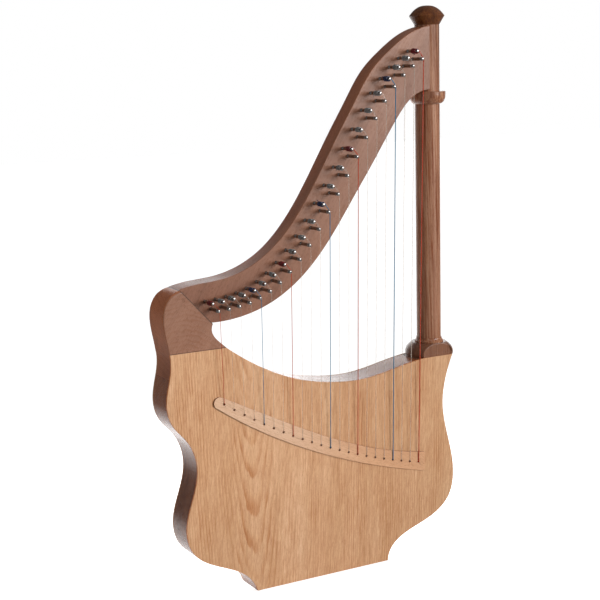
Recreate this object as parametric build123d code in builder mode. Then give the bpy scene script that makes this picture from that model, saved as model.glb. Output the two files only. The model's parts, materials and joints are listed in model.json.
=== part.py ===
from build123d import *
import os
from math import asin, atan2, cos, hypot, pi, sin, sqrt

# A 22-string lap harp: a shallow hollow body with a curved neck and a turned column.
# Origin: centre of the flat base. +X is the bass side, with the column; -Y is the
# soundboard side; +Z is up. Everything is in millimetres.

# ---------------------------------------------------------------- driving dimensions
overall_height = 805.0

body_depth = 48.6
board_thickness = 3.0
rim_wall = 10.0
base_half_width = 108.5
base_block_top = 30.0

shoulder_seat_z = 354.0        # top edge of the boards on the treble side
shoulder_tongue_z = 320.0      # the shoulder block reaches down inside to here
shoulder_tongue_x = -118.0
column_seat_z = 298.0          # top edge of the boards on the bass side
column_block_z = 240.0
column_block_x = 165.0
treble_edge_x = -228.5         # the two ends of the shoulder's seat
shoulder_inner_x = -145.0
bass_edge_x = 226.5            # the two ends of the column's seat
column_corner_x = 176.0
mitre_top = (-209.0, 438.0)    # the joint between the shoulder and the neck
mitre_foot = (-164.0, 389.0)

neck_thickness = 33.0
neck_front_round = 0.8
neck_back_round = 7.0
neck_flare_x = -60.0           # from here to the shoulder the neck's back swells
shoulder_front_round = 3.5
least_round = 0.4

column_x = 201.0
column_radius = 17.8
column_tenon_radius = 12.0
column_tenon_z = 262.0
foot_ring_z = 317.0
foot_ring_height = 7.0
collar_top_z = 684.0
collar_height = 18.0
collar_radius = 26.3
finial_z = 778.0
finial_rim_z = 790.5
finial_radius = 25.4
dome_radius = 35.7

string_count = 22
bass_string_radius = 0.70
treble_string_radius = 0.32
string_hole_radius = 1.6
bass_hole_x = 162.5
hole_spacing = 15.0
bass_pin_x = 165.9
pin_spacing = 15.64
tuning_offset_x = -8.8         # a tuning pin stands this far from its bridge pin
tuning_offset_z = 11.0

pin_radius = 2.5
tuning_pin_out = 26.0
tuning_pin_in = 18.0
bridge_pin_out = 25.0
bridge_pin_in = 15.0
string_stand_off = 22.3        # height of the strings above the neck at the pins
running_clearance = 0.05       # all round a tuning pin in its hole
pin_end_gap = 0.5              # behind a tuning pin, at the bottom of its hole
groove_width = 2.6             # of the groove that guides the string on a bridge pin
winding_low = 12.0             # where a winding starts, measured out from the neck
winding_gap = 0.15             # between a winding and the taut string in front of it

rib_thickness = 2.5
bar_thickness = 5.0
bar_half_width = 8.0

# ---------------------------------------------------------------- derived places
half_depth = body_depth / 2
inner_half = half_depth - board_thickness
neck_half = neck_thickness / 2
rib_face_y = -half_depth - rib_thickness
string_y = -neck_half - string_stand_off
bar_back_y = -inner_half + bar_thickness
groove_radius = pin_radius - 0.5

os.makedirs("parts", exist_ok=True)


def depth_plane(y):
    """Upright drawing plane at depth y; extruding by +t goes t towards the front."""
    return Plane.XZ.offset(-y)


def save(part, name):
    part.label = name
    export_step(part, f"parts/{name}.step")


def height_at(curve, x):
    """Height of a curve drawn from left to right, above the given x."""
    low, high = 0.0, 1.0
    for _ in range(30):
        middle = (low + high) / 2
        if (curve @ middle).X < x:
            low = middle
        else:
            high = middle
    return (curve @ low).Y


def inset_points(curve, distance, steps=14):
    """Points along a curve, moved to its left-hand side by a distance."""
    points = []
    for step in range(steps + 1):
        place = curve @ (step / steps)
        along = curve % (step / steps)
        points.append((place.X - along.Y * distance, place.Y + along.X * distance))
    return points


# ---------------------------------------------------------------- front-view outlines
with BuildSketch() as body_outline:
    with BuildLine():
        Line((-base_half_width, 0), (base_half_width, 0))
        bass_curve = Spline(
            (base_half_width, 0),
            (118, 22),
            (145, 39),
            (188.2, 55.3),
            (218.4, 80.2),
            (227.3, 121),
            (217, 176),
            (208.7, 228),
            (214, 263),
            (bass_edge_x, column_seat_z),
        )
        Line((bass_edge_x, column_seat_z), (column_corner_x, column_seat_z))
        cutout_curve = Spline(
            (column_corner_x, column_seat_z),
            (132, 290.8),
            (75, 281.3),
            (20, 283.5),
            (-33, 294.5),
            (-83, 315),
            (shoulder_inner_x, shoulder_seat_z),
        )
        Line((shoulder_inner_x, shoulder_seat_z), (treble_edge_x, shoulder_seat_z))
        treble_curve = Spline(
            (treble_edge_x, shoulder_seat_z),
            (-228, 330),
            (-235.5, 285),
            (-228, 257),
            (-207, 231),
            (-194.5, 190),
            (-202, 153),
            (-213.5, 106),
            (-204, 73),
            (-170, 49),
            (-128, 28),
            (-base_half_width, 0),
        )
    make_face()


def wall_strip(curve, thickness):
    """Front view of a bent wall: the curve, and its copy inside the body."""
    with BuildSketch() as strip:
        with BuildLine():
            add(curve)
            inner = Spline(*inset_points(curve, thickness))
            Line(curve @ 0, inner @ 0)
            Line(curve @ 1, inner @ 1)
        make_face()
    return strip.sketch


treble_wall = wall_strip(treble_curve, rim_wall)
bass_wall = wall_strip(bass_curve, rim_wall)
cutout_wall = wall_strip(cutout_curve, rim_wall)

shoulder_edge = [
    (treble_edge_x, shoulder_seat_z),
    (-235.5, 392),
    (-234, 415),
    (-224, 431),
    mitre_top,
]

with BuildSketch() as shoulder_outline:
    with BuildLine():
        Line((treble_edge_x, shoulder_seat_z), (shoulder_inner_x, shoulder_seat_z))
        Spline((shoulder_inner_x, shoulder_seat_z), (-157, 365), (-165, 376), mitre_foot)
        Line(mitre_foot, mitre_top)
        Spline(*shoulder_edge)
    make_face()

with BuildSketch() as neck_outline:
    with BuildLine():
        Line(mitre_top, mitre_foot)
        Spline(
            mitre_foot,
            (-120, 391.8),
            (-70, 407),
            (-25, 435),
            (24, 486),
            (63, 540),
            (105, 600),
            (143, 655),
            (165, 677.5),
            (186, 686),
        )
        Line((186, 686), (column_x, 688))
        Line((column_x, 688), (column_x, 777))
        Spline(
            (column_x, 777),
            (161, 766.5),
            (127, 744),
            (97, 717),
            (70, 677.5),
            (45, 638),
            (10, 580),
            (-30, 520),
            (-71, 478.5),
            (-104, 458.5),
            (-140, 447),
            (-177, 443.5),
            mitre_top,
        )
    make_face()

with BuildLine() as hole_curve:
    Spline((-158, 280.5), (-48, 216.5), (57, 172.5), (bass_hole_x + 6, 142))

with BuildLine() as pin_curve:
    Spline(
        (-164, 408),
        (-129.6, 411.6),
        (-99, 419.8),
        (-54.6, 449),
        (9.3, 527),
        (71, 624),
        (118.4, 693),
        (bass_pin_x + 1, 731),
    )

# ---------------------------------------------------------------- string places
string_xs = [bass_hole_x - hole_spacing * i for i in range(string_count)]
hole_places = [(x, height_at(hole_curve.line, x)) for x in string_xs]

bridge_xs = [bass_pin_x - pin_spacing * i for i in range(string_count)]
bridge_places = [(x, height_at(pin_curve.line, x)) for x in bridge_xs]

tuning_places = [(x + tuning_offset_x, z + tuning_offset_z) for x, z in bridge_places]


def string_radius(index):
    """Strings get evenly thinner from the bass to the treble."""
    taper = (bass_string_radius - treble_string_radius) / (string_count - 1)
    return bass_string_radius - taper * index


def bore(places, radius, low_y, high_y):
    """Round holes along Y, from low_y to high_y, in the part being built."""
    middle_y = (low_y + high_y) / 2
    with Locations(*[(x, middle_y, z) for x, z in places]):
        Cylinder(radius, high_y - low_y, rotation=(90, 0, 0), mode=Mode.SUBTRACT)


# ---------------------------------------------------------------- hollow body
with BuildPart() as soundboard:
    with BuildSketch(depth_plane(-inner_half)):
        add(body_outline.sketch)
    extrude(amount=board_thickness)
    bore(hole_places, string_hole_radius, -half_depth - 1, -inner_half + 1)
save(soundboard.part, "soundboard")

# Three round holes in the back let a hand reach the string ends.
back_hole_radius = 30.0
back_hole_places = [(-120, 190), (0, 160), (120, 130)]

with BuildPart() as back_panel:
    with BuildSketch(depth_plane(half_depth)):
        add(body_outline.sketch)
        with Locations(*back_hole_places):
            Circle(back_hole_radius, mode=Mode.SUBTRACT)
    extrude(amount=board_thickness)
save(back_panel.part, "back_panel")

with BuildPart() as treble_side_rim:
    with BuildSketch(depth_plane(inner_half)):
        add(treble_wall)
        with Locations((-100, base_block_top)):
            Rectangle(
                200,
                shoulder_tongue_z - base_block_top,
                align=(Align.MAX, Align.MIN),
                mode=Mode.INTERSECT,
            )
    extrude(amount=2 * inner_half)
save(treble_side_rim.part, "treble_side_rim")

with BuildPart() as bass_side_rim:
    with BuildSketch(depth_plane(inner_half)):
        add(bass_wall)
        with Locations((100, base_block_top)):
            Rectangle(
                200,
                column_block_z - base_block_top,
                align=(Align.MIN, Align.MIN),
                mode=Mode.INTERSECT,
            )
    extrude(amount=2 * inner_half)
save(bass_side_rim.part, "bass_side_rim")

with BuildPart() as cutout_rim:
    with BuildSketch(depth_plane(inner_half)):
        add(cutout_wall)
        with Locations((shoulder_tongue_x, column_block_z)):
            Rectangle(
                column_block_x - shoulder_tongue_x,
                200,
                align=(Align.MIN, Align.MIN),
                mode=Mode.INTERSECT,
            )
    extrude(amount=2 * inner_half)
save(cutout_rim.part, "cutout_rim")

with BuildPart() as base_block:
    with BuildSketch(depth_plane(inner_half)):
        add(body_outline.sketch)
        with Locations((0, 0)):
            Rectangle(
                400,
                base_block_top,
                align=(Align.CENTER, Align.MIN),
                mode=Mode.INTERSECT,
            )
    extrude(amount=2 * inner_half)
save(base_block.part, "base_block")

# Glued strips that widen the gluing edge all round the inside of both boards.
lining_width = 6.0
lining_depth = 8.0

with BuildSketch() as lining_outline:
    for curve in (treble_curve, bass_curve, cutout_curve):
        add(wall_strip(curve, rim_wall + lining_width))
    for wall in (treble_wall, bass_wall, cutout_wall):
        add(wall, mode=Mode.SUBTRACT)
    with Locations((0, base_block_top)):
        Rectangle(600, 400, align=(Align.CENTER, Align.MIN), mode=Mode.INTERSECT)
    with Locations((shoulder_tongue_x, shoulder_tongue_z)):
        Rectangle(200, 100, align=(Align.MAX, Align.MIN), mode=Mode.SUBTRACT)
    with Locations((column_block_x, column_block_z)):
        Rectangle(100, 100, align=(Align.MIN, Align.MIN), mode=Mode.SUBTRACT)

for name, plane in (
    ("soundboard_lining", depth_plane(-inner_half + lining_depth)),
    ("back_lining", depth_plane(inner_half)),
):
    with BuildPart() as lining:
        with BuildSketch(plane):
            add(lining_outline.sketch)
        extrude(amount=lining_depth)
    save(lining.part, name)

# ---------------------------------------------------------------- string rib and bar
with BuildPart() as string_rib:
    with BuildSketch(depth_plane(-half_depth)):
        with BuildLine():
            Spline((-156, 287), (-91, 254), (-14, 216), (70, 182), (174, 157))
            Line((174, 157), (174, 128))
            Spline((174, 128), (103, 146), (26, 172), (-58, 209), (-163, 272))
            ThreePointArc((-163, 272), (-167.5, 281.5), (-156, 287))
        make_face()
    extrude(amount=rib_thickness)
    bore(hole_places, string_hole_radius, rib_face_y - 1, -half_depth + 1)
save(string_rib.part, "string_rib")

with BuildPart() as string_bar:
    with BuildSketch(depth_plane(bar_back_y)):
        with BuildLine():
            low_edge = Spline(*inset_points(hole_curve.line, -bar_half_width, 4))
            high_edge = Spline(*inset_points(hole_curve.line, bar_half_width, 4))
            Line(low_edge @ 0, high_edge @ 0)
            Line(low_edge @ 1, high_edge @ 1)
        make_face()
    extrude(amount=bar_thickness)
    bore(hole_places, string_hole_radius, -inner_half - 1, bar_back_y + 1)
save(string_bar.part, "string_bar")

# Two cross bars stiffen each board; their ends stop short of the linings.
brace_places = {
    "soundboard_upper_brace": (256, -84, 120, -inner_half, 8.0, 12.0),
    "soundboard_lower_brace": (92, -175, 190, -inner_half, 8.0, 12.0),
    "back_upper_brace": (240, -170, 140, inner_half - 10.0, 10.0, 10.0),
    "back_lower_brace": (85, -175, 190, inner_half - 10.0, 10.0, 10.0),
}
for name, (z, low_x, high_x, low_y, width, depth) in brace_places.items():
    with BuildPart() as brace:
        with Locations((low_x, low_y, z)):
            Box(
                high_x - low_x,
                depth,
                width,
                align=(Align.MIN, Align.MIN, Align.CENTER),
            )
        chamfer(brace.edges().filter_by(Axis.Z), length=3.0)
    save(brace.part, name)

# ---------------------------------------------------------------- shoulder block
dowel_radius = 4.0
joint_x = mitre_foot[0] - mitre_top[0]
joint_z = mitre_foot[1] - mitre_top[1]
mitre_length = hypot(joint_x, joint_z)
mitre_normal = Vector(-joint_z, 0, joint_x) / mitre_length
mitre_dowel_y = 8.0
mitre_dowel_half = 15.0
mitre_dowels = [
    Plane(
        origin=(mitre_top[0] + joint_x * share, mitre_dowel_y, mitre_top[1] + joint_z * share),
        z_dir=mitre_normal,
    )
    for share in (0.3, 0.7)
]

# The rounding cutters stand out of the block by a margin and run on past the mitre,
# where their radius has grown to a little more than it is at the mitre itself.
cutter_margin = 0.5
cutter_end = (mitre_top[0] + 10.0, mitre_top[1] + 1.8)
cutter_growth = 1.1


def growing_round(side, last_radius):
    """Cutter that rounds the shoulder's outer edge at the back (side 1) or at the
    front (side -1), by more and more from the boards up to the neck."""
    with BuildLine() as path:
        Spline(*[(x, side * half_depth, z) for x, z in shoulder_edge + [cutter_end]])
    sections = []
    for share, radius in ((0, least_round), (1, last_radius)):
        plane = Plane(
            origin=path.line @ share, x_dir=(0, side, 0), z_dir=path.line % share
        )
        low = -radius * side
        high = cutter_margin * side
        half_way = radius * (sqrt(0.5) - 1)
        with BuildSketch(plane) as section:
            with BuildLine():
                Polyline(
                    (0, low),
                    (cutter_margin, low),
                    (cutter_margin, high),
                    (-radius, high),
                    (-radius, 0),
                )
                ThreePointArc((-radius, 0), (half_way, half_way * side), (0, low))
            make_face()
        sections.append(section.sketch)
    return sweep(sections=sections, path=path.line, multisection=True, mode=Mode.PRIVATE)


back_cutter = growing_round(1, cutter_growth * neck_back_round)
front_cutter = growing_round(-1, cutter_growth * shoulder_front_round)

with BuildPart() as shoulder_block:
    with BuildSketch(depth_plane(half_depth)):
        add(shoulder_outline.sketch)
    extrude(amount=body_depth)
    add(back_cutter, mode=Mode.SUBTRACT)
    add(front_cutter, mode=Mode.SUBTRACT)
    with BuildSketch(depth_plane(inner_half)):
        add(body_outline.sketch)
        with Locations((shoulder_tongue_x, shoulder_tongue_z)):
            Rectangle(200, 100, align=(Align.MAX, Align.MIN), mode=Mode.INTERSECT)
    extrude(amount=2 * inner_half)
    with Locations(*mitre_dowels):
        Cylinder(dowel_radius, 2 * mitre_dowel_half, mode=Mode.SUBTRACT)
save(shoulder_block.part, "shoulder_block")

# ---------------------------------------------------------------- column
column_plane = Plane(origin=(column_x, 0, 0), x_dir=(1, 0, 0), z_dir=(0, -1, 0))
column_axis = Axis((column_x, 0, 0), (0, 0, 1))
finial_tenon_radius = 8.0

with BuildPart() as column:
    with BuildSketch(column_plane):
        with BuildLine():
            Polyline(
                (0, column_tenon_z),
                (column_tenon_radius, column_tenon_z),
                (column_tenon_radius, foot_ring_z),
                (column_radius, foot_ring_z),
                (column_radius, finial_z),
                (finial_tenon_radius, finial_z),
                (finial_tenon_radius, finial_rim_z),
                (0, finial_rim_z),
                close=True,
            )
        make_face()
    revolve(axis=column_axis)

with BuildPart() as foot_ring:
    with BuildSketch(column_plane):
        with BuildLine():
            Line((column_radius, foot_ring_z), (column_radius + 3.4, foot_ring_z))
            Line(
                (column_radius + 3.4, foot_ring_z),
                (column_radius + 3.4, foot_ring_z + 2),
            )
            ThreePointArc(
                (column_radius + 3.4, foot_ring_z + 2),
                (column_radius + 1.6, foot_ring_z + 4.2),
                (column_radius + 1.0, foot_ring_z + foot_ring_height),
            )
            Polyline(
                (column_radius + 1.0, foot_ring_z + foot_ring_height),
                (column_radius, foot_ring_z + foot_ring_height),
                (column_radius, foot_ring_z),
            )
        make_face()
    revolve(axis=column_axis)
save(foot_ring.part, "column_foot_ring")

# The dome is a flattened ball, cut flush with both boards.
dome_equator_z = column_seat_z + 3.5
dome_rise = 22.0
dome_foot_radius = dome_radius - 0.6
dome_base_z = 280.0
trim_size = 100.0              # larger than the dome all round

with BuildPart() as dome:
    with BuildSketch(column_plane):
        with BuildLine():
            EllipticalCenterArc(
                (0, dome_equator_z), dome_radius, dome_rise, start_angle=0, arc_size=90
            )
            Line((dome_radius, dome_equator_z), (dome_foot_radius, column_seat_z))
            Line((dome_foot_radius, column_seat_z), (dome_foot_radius, dome_base_z))
            Line((dome_foot_radius, dome_base_z), (0, dome_base_z))
            Line((0, dome_base_z), (0, dome_equator_z + dome_rise))
        make_face()
    revolve(axis=column_axis)
    with Locations((column_x, 0, foot_ring_z)):
        Box(
            trim_size,
            trim_size,
            trim_size,
            align=(Align.CENTER, Align.CENTER, Align.MIN),
            mode=Mode.SUBTRACT,
        )
    with Locations((column_x, 0, column_seat_z)):
        Box(trim_size, body_depth, trim_size, mode=Mode.INTERSECT)

with BuildPart() as column_block:
    add(dome.part)
    with BuildSketch(depth_plane(trim_size / 2)):
        add(body_outline.sketch)
    extrude(amount=trim_size, mode=Mode.SUBTRACT)
    with Locations((column_x, 0, column_seat_z)):
        Box(
            trim_size,
            trim_size,
            trim_size,
            align=(Align.MIN, Align.CENTER, Align.MAX),
            mode=Mode.SUBTRACT,
        )
    with BuildSketch(depth_plane(inner_half)):
        add(body_outline.sketch)
        with Locations((column_block_x, column_block_z)):
            Rectangle(
                trim_size, trim_size, align=(Align.MIN, Align.MIN), mode=Mode.INTERSECT
            )
    extrude(amount=2 * inner_half)
    with Locations((column_x, 0, column_tenon_z)):
        Cylinder(
            column_tenon_radius,
            foot_ring_z - column_tenon_z,
            align=(Align.CENTER, Align.CENTER, Align.MIN),
            mode=Mode.SUBTRACT,
        )
save(column_block.part, "column_block")

with BuildPart() as finial:
    with BuildSketch(column_plane):
        with BuildLine():
            Line((0, finial_z), (column_radius, finial_z))
            Line((column_radius, finial_z), (finial_radius, finial_rim_z))
            Spline(
                (finial_radius, finial_rim_z),
                (finial_radius - 6.5, finial_rim_z + 7.6),
                (finial_radius - 14.0, finial_rim_z + 12.6),
                (0, overall_height),
                tangents=((-0.62, 0.78), (-1, 0)),
            )
            Line((0, overall_height), (0, finial_z))
        make_face()
    revolve(axis=column_axis)
    with Locations((column_x, 0, finial_z)):
        Cylinder(
            finial_tenon_radius,
            finial_rim_z - finial_z,
            align=(Align.CENTER, Align.CENTER, Align.MIN),
            mode=Mode.SUBTRACT,
        )
save(finial.part, "column_finial")

# ---------------------------------------------------------------- neck
column_dowel_zs = (706, 748)
column_dowel_low_x = 166.0
column_dowel_high_x = 196.0
column_dowels = [
    Plane(
        origin=((column_dowel_low_x + column_dowel_high_x) / 2, 0, z),
        z_dir=(1, 0, 0),
    )
    for z in column_dowel_zs
]
column_dowel_length = column_dowel_high_x - column_dowel_low_x

plan_margin = 20.0
plan_low_x = mitre_top[0] - plan_margin
plan_high_x = column_x + plan_margin

with BuildPart() as neck:
    with BuildSketch(depth_plane(half_depth)):
        add(neck_outline.sketch)
    extrude(amount=half_depth + neck_half)
    # Seen from above, the back runs from the shoulder's back in to the neck's own.
    with BuildSketch(Plane.XY.offset(shoulder_seat_z)):
        with BuildLine():
            Line((plan_low_x, half_depth), (mitre_foot[0], half_depth))
            Spline(
                (mitre_foot[0], half_depth),
                (neck_flare_x, neck_half),
                tangents=((1, 0), (1, 0)),
            )
            Polyline(
                (neck_flare_x, neck_half),
                (plan_high_x, neck_half),
                (plan_high_x, half_depth + plan_margin),
                (plan_low_x, half_depth + plan_margin),
                (plan_low_x, half_depth),
            )
        make_face()
    extrude(amount=overall_height - shoulder_seat_z, mode=Mode.SUBTRACT)
    back_edges = neck.edges().filter_by(GeomType.BSPLINE).group_by(Axis.Y)[1:]
    fillet([edge for group in back_edges for edge in group], radius=neck_back_round)
    front_edges = neck.faces().sort_by(Axis.Y)[0].edges().sort_by(SortBy.LENGTH)
    fillet(front_edges[-2:], radius=neck_front_round)
    with Locations((column_x, 0, foot_ring_z)):
        Cylinder(
            column_radius,
            overall_height - foot_ring_z,
            align=(Align.CENTER, Align.CENTER, Align.MIN),
            mode=Mode.SUBTRACT,
        )
    bore(
        tuning_places,
        pin_radius + running_clearance,
        -neck_half - 1,
        -neck_half + tuning_pin_in + pin_end_gap,
    )
    bore(bridge_places, pin_radius, -neck_half - 1, -neck_half + bridge_pin_in)
    with Locations(*mitre_dowels):
        Cylinder(dowel_radius, 2 * mitre_dowel_half, mode=Mode.SUBTRACT)
    with Locations(*column_dowels):
        Cylinder(dowel_radius, column_dowel_length, mode=Mode.SUBTRACT)
save(neck.part, "neck")

with BuildPart() as neck_dowels:
    with Locations(*mitre_dowels):
        Cylinder(dowel_radius, 2 * mitre_dowel_half)
save(neck_dowels.part, "shoulder_dowels")

with BuildPart() as column_side_dowels:
    with Locations(*column_dowels):
        Cylinder(dowel_radius, column_dowel_length)
save(column_side_dowels.part, "column_dowels")

with BuildPart() as drilled_column:
    add(column.part)
    with Locations(*column_dowels):
        Cylinder(dowel_radius, column_dowel_length, mode=Mode.SUBTRACT)
save(drilled_column.part, "column")

with BuildPart() as collar:
    with BuildSketch(column_plane):
        with BuildLine():
            Polyline(
                (column_radius, collar_top_z - collar_height),
                (column_radius, collar_top_z),
                (collar_radius - 0.6, collar_top_z),
                (collar_radius, collar_top_z - 1),
                (collar_radius, collar_top_z - 4),
            )
            EllipticalCenterArc(
                (column_radius, collar_top_z - 4),
                collar_radius - column_radius,
                collar_height - 4,
                start_angle=270,
                arc_size=90,
            )
        make_face()
    revolve(axis=column_axis)
    with BuildSketch(depth_plane(neck_half)):
        add(neck_outline.sketch)
    extrude(amount=neck_thickness, mode=Mode.SUBTRACT)
save(collar.part, "column_collar")

# ---------------------------------------------------------------- pins

def pin_plane(place, y):
    """Plane on a pin's axis with its normal pointing out towards the player."""
    x, z = place
    return Plane(origin=(x, y, z), x_dir=(1, 0, 0), z_dir=(0, -1, 0))


with BuildPart() as bridge_pins:
    for place in bridge_places:
        with Locations(pin_plane(place, -neck_half + bridge_pin_in)):
            Cylinder(
                pin_radius,
                bridge_pin_in + bridge_pin_out,
                align=(Align.CENTER, Align.CENTER, Align.MIN),
            )
        with Locations(pin_plane(place, string_y)):
            Cylinder(pin_radius + 1, groove_width, mode=Mode.SUBTRACT)
            Cylinder(groove_radius, groove_width)
save(bridge_pins.part, "bridge_pins")

for index, place in enumerate(tuning_places):
    winding_radius = pin_radius + 2 * string_radius(index)
    winding_high = string_stand_off - string_radius(index) - winding_gap
    winding_length = winding_high - winding_low
    with BuildPart() as tuning_pin:
        with Locations(pin_plane(place, -neck_half + tuning_pin_in)):
            Cylinder(
                pin_radius,
                tuning_pin_in + tuning_pin_out,
                align=(Align.CENTER, Align.CENTER, Align.MIN),
            )
        chamfer(tuning_pin.faces().sort_by(Axis.Y)[0].edges(), length=0.8)
    winding_middle = -neck_half - (winding_low + winding_high) / 2
    with BuildPart(pin_plane(place, winding_middle)) as winding:
        Cylinder(winding_radius, winding_length)
        Cylinder(pin_radius, winding_length, mode=Mode.SUBTRACT)
    pin_with_winding = Compound(children=[tuning_pin.part, winding.part])
    save(pin_with_winding, f"tuning_pin_{index + 1:02d}")

# ---------------------------------------------------------------- strings
hole_bend_radius = 1.6
anchor_radius = 2.6
anchor_length = 4.0


def tangent_side(angle, centre, radius):
    """Point on a circle round centre, in the direction of angle from +X."""
    x, z = centre
    return x + radius * cos(angle), z + radius * sin(angle)


def string_points(index):
    """Corners of one string's centre line: anchor, hole, bridge pin, tuning pin."""
    radius = string_radius(index)
    hole_x, hole_z = hole_places[index]
    pin_x, pin_z = bridge_places[index]
    bend_radius = groove_radius + radius + 0.05
    wrap_radius = pin_radius + radius + 0.05

    # The string reaches the pin's bass side, leaning a little from the vertical.
    distance = hypot(pin_x - hole_x, pin_z - hole_z)
    lean = atan2(pin_z - hole_z, pin_x - hole_x)
    low_angle = lean - pi / 2 + asin(bend_radius / distance)
    # From there it runs along the outside of both pins.
    span = hypot(tuning_offset_x, tuning_offset_z)
    rise = atan2(tuning_offset_z, tuning_offset_x)
    high_angle = rise - pi / 2 + asin((bend_radius - wrap_radius) / span)

    corner_angle = (low_angle + high_angle) / 2
    corner_reach = bend_radius / cos((high_angle - low_angle) / 2)
    corner_x, corner_z = tangent_side(corner_angle, (pin_x, pin_z), corner_reach)
    end_x, end_z = tangent_side(high_angle, tuning_places[index], wrap_radius)
    surface_y = rib_face_y - radius - 0.15
    points = [
        (hole_x, bar_back_y, hole_z),
        (hole_x, surface_y, hole_z),
        (corner_x, string_y, corner_z),
        (end_x, string_y, end_z),
    ]
    return points, [hole_bend_radius, bend_radius]


red_strings = [0, 7, 14, 21]
blue_strings = [3, 10, 17]
clear_strings = [i for i in range(string_count) if i not in red_strings + blue_strings]

string_lengths = []
for name, indexes in (
    ("strings_red", red_strings),
    ("strings_blue", blue_strings),
    ("strings_clear", clear_strings),
):
    with BuildPart() as strings:
        for index in indexes:
            points, radii = string_points(index)
            with BuildLine() as route:
                FilletPolyline(*points, radius=radii)
            with BuildSketch(Plane.XZ.offset(-bar_back_y)) as section:
                with Locations((points[0][0], points[0][2])):
                    Circle(string_radius(index))
            sweep(sections=section.sketch, path=route.line)
            string_lengths.append((index + 1, round(route.wire().length)))
    save(strings.part, name)

with BuildPart() as anchors:
    for place in hole_places:
        with Locations(pin_plane(place, bar_back_y + anchor_length)):
            Cylinder(
                anchor_radius,
                anchor_length,
                align=(Align.CENTER, Align.CENTER, Align.MIN),
            )
save(anchors.part, "string_anchors")

print("string lengths (mm):", sorted(string_lengths))
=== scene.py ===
import json
from math import asin, atan2, cos, hypot, pi, radians, sin

import bmesh
import bpy
from mathutils import Matrix, Vector


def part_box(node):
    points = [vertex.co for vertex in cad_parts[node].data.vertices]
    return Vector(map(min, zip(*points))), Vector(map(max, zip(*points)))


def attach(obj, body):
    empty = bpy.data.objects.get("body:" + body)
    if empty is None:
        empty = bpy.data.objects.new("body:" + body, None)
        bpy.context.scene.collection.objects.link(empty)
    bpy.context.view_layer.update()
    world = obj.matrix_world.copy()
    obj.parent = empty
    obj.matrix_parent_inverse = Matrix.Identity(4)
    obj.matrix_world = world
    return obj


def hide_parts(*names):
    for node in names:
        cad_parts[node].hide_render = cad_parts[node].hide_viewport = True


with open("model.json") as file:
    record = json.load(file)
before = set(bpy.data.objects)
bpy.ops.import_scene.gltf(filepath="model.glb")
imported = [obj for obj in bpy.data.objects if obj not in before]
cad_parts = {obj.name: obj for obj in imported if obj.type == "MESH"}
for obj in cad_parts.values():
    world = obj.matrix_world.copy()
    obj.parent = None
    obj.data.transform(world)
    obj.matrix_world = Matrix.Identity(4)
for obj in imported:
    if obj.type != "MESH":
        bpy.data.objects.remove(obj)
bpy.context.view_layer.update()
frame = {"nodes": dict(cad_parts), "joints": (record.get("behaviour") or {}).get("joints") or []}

# A 22-string lap harp. Everything is in metres, in the CAD frame: +X is the bass side
# with the column, -Y is the soundboard side that faces the player, +Z is up.
scene = bpy.context.scene
scene.view_settings.view_transform = "Standard"

# ------------------------------------------------------------------ sizes from the model
STRING_COUNT = 22
BASS_RADIUS = 0.00070
TREBLE_RADIUS = 0.00032
RED_STRINGS = (1, 8, 15, 22)
BLUE_STRINGS = (4, 11, 18)

NECK_FRONT_Y = -0.0165
STRING_Y = -0.0388
PIN_RADIUS = 0.0025
GROOVE_RADIUS = 0.0020
TUNING_PIN_OUT = 0.026
TUNING_PIN_IN = 0.018
BRIDGE_PIN_OUT = 0.025
BRIDGE_PIN_IN = 0.015
WINDING_LOW = 0.012            # the winding's inner end, measured out from the neck
STRING_GAP = 0.00015           # between the winding and the string that leaves it
RUNNING_GAP = 0.00005
BRIDGE_FROM_TUNING = Vector((0.0088, 0.0, -0.0110))


# ------------------------------------------------------------------ shader building
def add_node(tree, kind, inputs=None, **settings):
    """A shader node, with its settings, and with its inputs set or linked by name."""
    node = tree.nodes.new(kind)
    for name, value in settings.items():
        setattr(node, name, value)
    for name, value in (inputs or {}).items():
        if isinstance(value, bpy.types.NodeSocket):
            tree.links.new(value, node.inputs[name])
        else:
            node.inputs[name].default_value = value
    return node


def scaled(tree, vector, scale):
    """The vector times a scale for each axis."""
    node = add_node(tree, "ShaderNodeVectorMath", {0: vector, 1: scale})
    node.operation = "MULTIPLY"
    return node.outputs["Vector"]


def noise(tree, vector, scale, detail=3.0, roughness=0.55, distortion=0.0):
    """Noise from 0 to 1; scale is in cells for each metre along each axis."""
    node = add_node(
        tree,
        "ShaderNodeTexNoise",
        {
            "Vector": scaled(tree, vector, scale),
            "Scale": 1.0,
            "Detail": detail,
            "Roughness": roughness,
            "Distortion": distortion,
        },
    )
    return node.outputs["Fac"]


def maths(tree, operation, a, b=0.0, clamp=False):
    """One sum on two numbers, kept between 0 and 1 if clamp is set."""
    node = add_node(tree, "ShaderNodeMath", {0: a, 1: b}, operation=operation)
    node.use_clamp = clamp
    return node.outputs["Value"]


def ramp(tree, factor, stops):
    """A colour ramp; stops are pairs of a position and a grey level or a colour."""
    node = add_node(tree, "ShaderNodeValToRGB", {"Fac": factor})
    elements = node.color_ramp.elements
    while len(elements) < len(stops):
        elements.new(0.5)
    for element, (position, colour) in zip(elements, stops):
        if isinstance(colour, (int, float)):
            colour = (colour, colour, colour)
        element.position = position
        element.color = (*colour, 1.0)
    return node.outputs["Color"]


def mix(tree, factor, a, b, blend="MIX"):
    """Colours a and b mixed."""
    node = add_node(tree, "ShaderNodeMix", data_type="RGBA", blend_type=blend)
    for index, value in ((0, factor), (6, a), (7, b)):
        if isinstance(value, bpy.types.NodeSocket):
            tree.links.new(value, node.inputs[index])
        elif index == 0:
            node.inputs[index].default_value = value
        else:
            node.inputs[index].default_value = (*value, 1.0)
    return node.outputs[2]


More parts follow.
